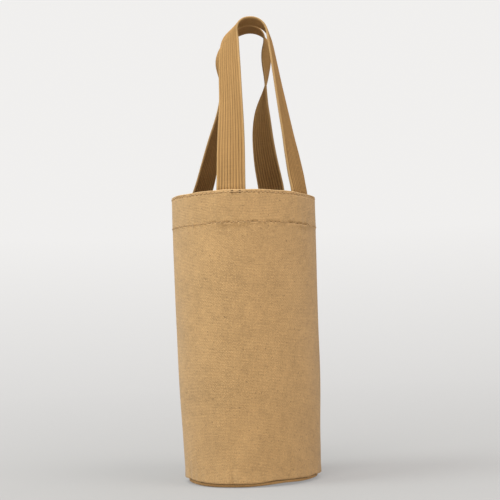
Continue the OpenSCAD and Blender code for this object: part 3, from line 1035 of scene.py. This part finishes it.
def face_inset(angle, side):
    """How deep a row's face lies: the outer one, side 1, or the inner one, side -1, which is the strap's
    where the row crosses one."""
    if side > 0:
        return 0.0
    if any(abs(apart(angle, leg)) * STRAP_R < STRAP_W / 2 for leg in LEG_ANGLES):
        return STRAP_INSET + STRAP_T / 2
    return HEM_INSET


def face_spans(z, side):
    """The stitches of a row round the bag on one of its faces. None ends in the air."""
    spans = []
    half = STITCH_L / 2 / MOUTH_R
    for i in range(STITCH_COUNT):
        centre = TAU * i / STITCH_COUNT + rng.normal(0, ROW_JITTER) / MOUTH_R
        if face_inset(centre - half, side) != face_inset(centre + half, side):
            continue
        angle = centre + ALONG_STITCH * half
        height = z + ROW_SLANT * ALONG_STITCH + rng.normal(0, HEIGHT_JITTER)
        spans.append((on_bag(angle, height, face_inset(centre, side)), side * outward(angle)))
    return spans


def both_faces(z):
    return face_spans(z, 1) + face_spans(z, -1)


def backtack(z, centre):
    """Where a row starts and ends: a few stitches sewn over each other."""
    spans = []
    for step in TACK_STEPS:
        angle = centre + (step + ALONG_STITCH / 2) * STITCH_L / MOUTH_R
        height = z + TACK_RISE * step + TACK_SLANT * ALONG_STITCH
        spans.append((on_bag(angle, height, -TACK_STAND), outward(angle)))
    return spans


def base_spans():
    """The row through the base binding, on its inner face."""
    spans = []
    face = BASE_IN - LAYER_GAP - TAPE_T
    count = 4 * int(TAU * face / STITCH_PITCH / 4)
    for i in range(count):
        angle = TAU * i / count + ALONG_STITCH * STITCH_L / 2 / face
        z = ALLOWANCE_TOP - TAPE_LEG / 2 + TAPE_WAVE_SIZE * ripple(FOOT_WAVE, angle)
        spans.append((polar(face, angle, z + BASE_ROW_SLANT * ALONG_STITCH), -outward(angle)))
    return spans


def side_spans():
    """The row through the side binding, on its inner face."""
    spans = []
    angle = np.full(STITCH_RINGS, SIDE_SEAM + (SEAM_ALLOWANCE - TAPE_LEG / 2) / FOOT_R)
    length = SIDE_HIGH - SIDE_LOW
    count = int(length / STITCH_PITCH)
    for i in range(count):
        z = SIDE_LOW + length * (i + 0.5) / count + ALONG_STITCH * STITCH_L / 2
        spans.append((on_bag(angle, z, SIDE_TAPE_IN), -outward(angle)))
    return spans


def make_stitching():
    stitches("top_row", both_faces(TOP_ROW_Z) + backtack(TOP_ROW_Z, TACK_ANGLE), "top_edge_stitching")
    stitches("hem_row", both_faces(HEM_ROW_Z), "hem_stitching")
    stitches("base_row", base_spans(), "base_seam_stitching")
    stitches("side_row", side_spans(), "side_seam_stitching")


# The handles: how far up they are cupped, bend and are held to the wall, rings, ribs and wobble

CUP_SHARE = 0.35
HELD_LOW = 1 * MM
HELD_H = 9 * MM
HELD_FLAT = 4 * MM
RING_STEP = 0.75 * MM
BEND_RINGS = int(CROWN_R * 1.5 / RING_STEP)
EVENED = 3 * MM
POINTS_PER_RIB = 6
ACROSS = RIBS * POINTS_PER_RIB
RIB_DEPTH = 0.17
RIB_POWER = 0.7
EDGE_POWER = 24
EDGE_THINNING = 0.4
WOBBLE_SIZE = 0.35 * MM
WOBBLE_LENGTH = 17 * MM
WOBBLE_PHASE = 1.3
WOBBLE_LEAN = 1.6
WOBBLE_SHARES = (0.05, 0.2)
SEWN_SHARE = -0.02

# Each leg's swing, in millimetres sideways from a straight line, and its turn, as a share of the turn from
# along the wall to along the peg, at shares of its height
FRONT_LEFT = {
    "swing": ((0, 0), (0.5, 0.2), (0.85, -0.8), (1, 0)),
    "turn": ((0, 0), (0.2, 0.1), (0.5, 0.31), (0.75, 0.41), (0.9, 0.6), (1, 1)),
}
FRONT_RIGHT = {
    "swing": ((0, 0), (0.1, -0.3), (0.6, -0.4), (0.8, 0), (1, 0)),
    "turn": ((0, 0), (0.08, -0.07), (0.2, 0.03), (0.3, 0.24), (0.42, 0.38), (0.6, 0.5), (0.75, 0.56),
             (0.9, 0.7), (1, 1)),
}
BACK_RIGHT = {
    "swing": ((0, 0), (0.1, 2.3), (0.25, 5.8), (0.4, 7.6), (0.52, 7.2), (0.7, 3.2), (0.85, 2.1), (1, 0)),
    "turn": ((0, 0), (0.06, -0.2), (0.14, -0.18), (0.3, 0.08), (0.5, 0.46), (0.7, 1.05), (0.85, 1.29),
             (1, 1)),
}
BACK_LEFT = {
    "swing": ((0, 0), (0.1, -1.9), (0.35, -3.0), (0.52, -3.2), (0.7, 1.4), (0.85, 7.2), (0.94, 5.2), (1, 0)),
    "turn": ((0, 0), (0.25, 0.3), (0.5, 0.66), (0.7, 1.1), (0.85, 1.45), (1, 1)),
}


def rise_share(z):
    return (z - LOOP_Z) / (CROWN_Z - LOOP_Z)


def along_leg(h, points):
    return spline(np.clip(h, 0, 1), *zip(*points))


def loop_line(leg_places, centre_x):
    """The loop's centre line, hung at -Y: two straight legs that run tangent into a round crown.
    Returns its points and, for each, whether it belongs to the first leg."""
    mid_z = CROWN_Z - CROWN_R
    flat = []
    for t, side in zip(leg_places, (1, -1)):
        x, y, _ = polar(STRAP_R, t, 0)
        dx, dz = centre_x - x, mid_z - LOOP_Z
        lean = math.asin(CROWN_R / math.hypot(dx, dz)) + math.pi / 2
        meets = math.atan2(dz, dx) + side * lean
        end_x, end_z = centre_x + CROWN_R * math.cos(meets), mid_z + CROWN_R * math.sin(meets)
        shares = np.linspace(0, 1, int(math.hypot(end_x - x, end_z - LOOP_Z) / RING_STEP))
        half = [(x + (end_x - x) * s, y, LOOP_Z + (end_z - LOOP_Z) * s) for s in shares[:-1]]
        bend = np.linspace(meets, math.pi / 2, BEND_RINGS)
        half += [(centre_x + CROWN_R * math.cos(a), y, mid_z + CROWN_R * math.sin(a)) for a in bend]
        flat.append(half)
    points = np.array(flat[0] + flat[1][-2::-1])
    points[:, 1] -= (CROWN_Y + points[:, 1]) * rise_share(points[:, 2])
    return points, np.arange(len(points)) < len(flat[0])


def smoothed(rows):
    """Rows averaged with their neighbours, so that straight and round stretches run into each other."""
    width = EVENED / RING_STEP
    reach = int(3 * width)
    weights = np.exp(-(np.arange(-reach, reach + 1) / width) ** 2)
    weights /= weights.sum()
    padded_rows = np.vstack([np.repeat(rows[:1], reach, 0), rows, np.repeat(rows[-1:], reach, 0)])
    return np.stack([np.convolve(padded_rows[:, k], weights, "valid") for k in range(rows.shape[1])], 1)


def strap_frame(t1, t2, centre_x, legs):
    """A whole strap, from one sewn end over the crown to the other: its centre line, the directions across
    it and off it, and the share of the loop's height."""
    loop, first = loop_line((t1, t2), centre_x)
    heights = np.arange(RIM_Z - END_DEPTH, LOOP_Z, RING_STEP)
    straight = np.vstack([polar(STRAP_R, t1, heights), loop, polar(STRAP_R, t2, heights)[::-1]])
    is_first = np.concatenate([np.ones(len(heights), bool), first, np.zeros(len(heights), bool)])
    rise = rise_share(straight[:, 2])
    h = np.clip(rise, 0, 1)
    turn = np.where(is_first, t1 + (-math.pi / 2 - t1) * along_leg(h, legs[0]["turn"]),
                    t2 - math.pi + (math.pi / 2 - t2) * along_leg(h, legs[1]["turn"]))
    level = smoothed(np.stack([np.cos(turn), np.sin(turn), 0 * turn], 1))
    points = straight.copy()
    points[:, 0] += np.where(is_first, *(along_leg(h, leg["swing"]) * MM for leg in legs))
    points = np.where(rise[:, None] < SEWN_SHARE, straight, smoothed(points))
    along = unit(np.gradient(points, axis=0))
    across = unit(level - (level * along).sum(1)[:, None] * along)
    return points, across, np.cross(across, along), h


def strap_section():
    """Across the strap: place, from -1 to 1, and half thickness, ribbed and rounded at both edges."""
    s = np.linspace(-1, 1, ACROSS + 1)
    rib = np.abs(np.sin(math.pi * RIBS * (s + 1) / 2)) ** RIB_POWER
    rounding = 1 - EDGE_THINNING * np.abs(s) ** EDGE_POWER
    return s, STRAP_T / 2 * (1 - RIB_DEPTH + RIB_DEPTH * rib) * rounding


def moved_with_wall(ring):
    """The strap's points, with its ends moved as the wall that they are sewn to."""
    angle, z = np.arctan2(ring[..., 0], -ring[..., 1]), ring[..., 2]
    held = 1 - smooth(z, RIM_Z - HELD_LOW, RIM_Z + HELD_H)
    return ring + polar(held * swell(angle, np.minimum(z, RIM_Z - HELD_FLAT)), angle, held * lift(angle, z))


def make_handle(name, centre, half, side, legs, nodes):
    """A handle, shaped at -Y with the peg along Y, and turned to its place: side is 1 in front, -1 behind."""
    points, across, off, h = strap_frame(
        centre - half + HANG_TURN, centre + half + HANG_TURN, side * CROWN_SIDE, legs)
    along = path_lengths(points)
    s, thick = strap_section()
    sagitta = (STRAP_W / 2) ** 2 / (2 * STRAP_R)
    cup = sagitta * np.clip(1 - h / CUP_SHARE, 0, None) ** 2
    wobble = WOBBLE_SIZE * np.sin(along / WOBBLE_LENGTH + WOBBLE_PHASE * side) * smooth(h, *WOBBLE_SHARES)
    stand = np.outer(wobble, np.sin(WOBBLE_LEAN * s)) - np.outer(cup, s ** 2)
    rows = points[:, None] + across[:, None] * (s * STRAP_W / 2)[None, :, None]
    front = rows + off[:, None] * (stand + thick)[..., None]
    back = rows + off[:, None] * (stand - thick)[..., None]
    ring = np.concatenate([front, back[:, ::-1]], 1)
    turn = (0 if side > 0 else math.pi) - HANG_TURN
    spin = np.array([(math.cos(turn), math.sin(turn)), (-math.sin(turn), math.cos(turn))])
    ring[..., :2] = ring[..., :2] @ spin
    ring = moved_with_wall(ring)
    width = (s + 1) * STRAP_W / 2
    us = np.concatenate([width, width[::-1], width[:1]])
    vs = along - along[-1] / 2
    faces, uvs = grid(ring, us, vs, False, True)
    count = ring.shape[1]
    last = (len(points) - 1) * count
    for start, flip in ((0, True), (last, False)):
        for k in range(ACROSS):
            quad = (start + k, start + k + 1, start + count - 2 - k, start + count - 1 - k)
            faces.append(quad if flip else quad[::-1])
            uvs += [(us[k], vs[0])] * 4
    strap = new_object(name, ring.reshape(-1, 3), faces, None, webbing, uvs)
    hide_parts(*nodes)
    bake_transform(strap)


make_body()
make_flap()
make_base()
make_base_binding()
make_side_binding()
make_stitching()
make_handle("front_strap", HANDLE_SHIFT, FRONT_HALF, 1, (FRONT_LEFT, FRONT_RIGHT),
            ("front_handle_loop", "front_handle_left_end", "front_handle_right_end"))
make_handle("back_strap", -HANDLE_SHIFT, BACK_HALF, -1, (BACK_RIGHT, BACK_LEFT),
            ("back_handle_loop", "back_handle_left_end", "back_handle_right_end"))
